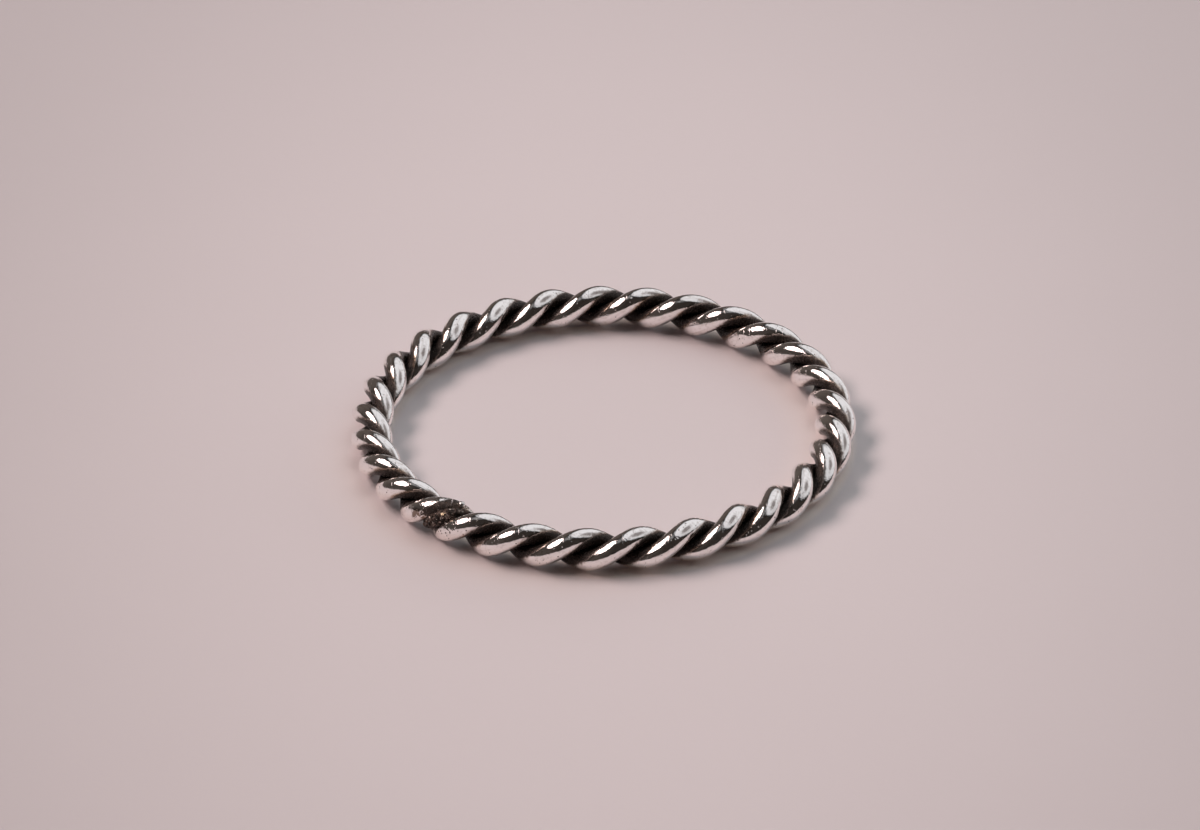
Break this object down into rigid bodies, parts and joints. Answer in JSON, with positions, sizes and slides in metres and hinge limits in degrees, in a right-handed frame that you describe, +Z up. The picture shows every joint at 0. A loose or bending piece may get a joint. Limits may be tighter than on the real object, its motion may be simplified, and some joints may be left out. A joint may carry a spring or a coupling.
{
  "type": "rope twist ring",
  "caption": "Plain finger ring of two round silver wires twisted left-handed into a rope, with oxidised grooves and one soldered joint, lying flat.",
  "frame": {"origin": "on the surface that the ring lies on, under the middle of its round outline", "axes": "+Z up, along the ring's own axis; -Y towards the picture's viewer and +X to the viewer's right, with the soldered joint at the front left"},
  "size_m": [0.0216, 0.0216, 0.0018],
  "materials": {
    "silver": "polished sterling silver, oxidised near black in the grooves, with fine pits and hairline scratches",
    "solder": "rough silver solder, oxidised dark brown, with brighter worn specks"
  },
  "bodies": {
    "root": {"rope_band": "silver"}
  },
  "joints": []
}
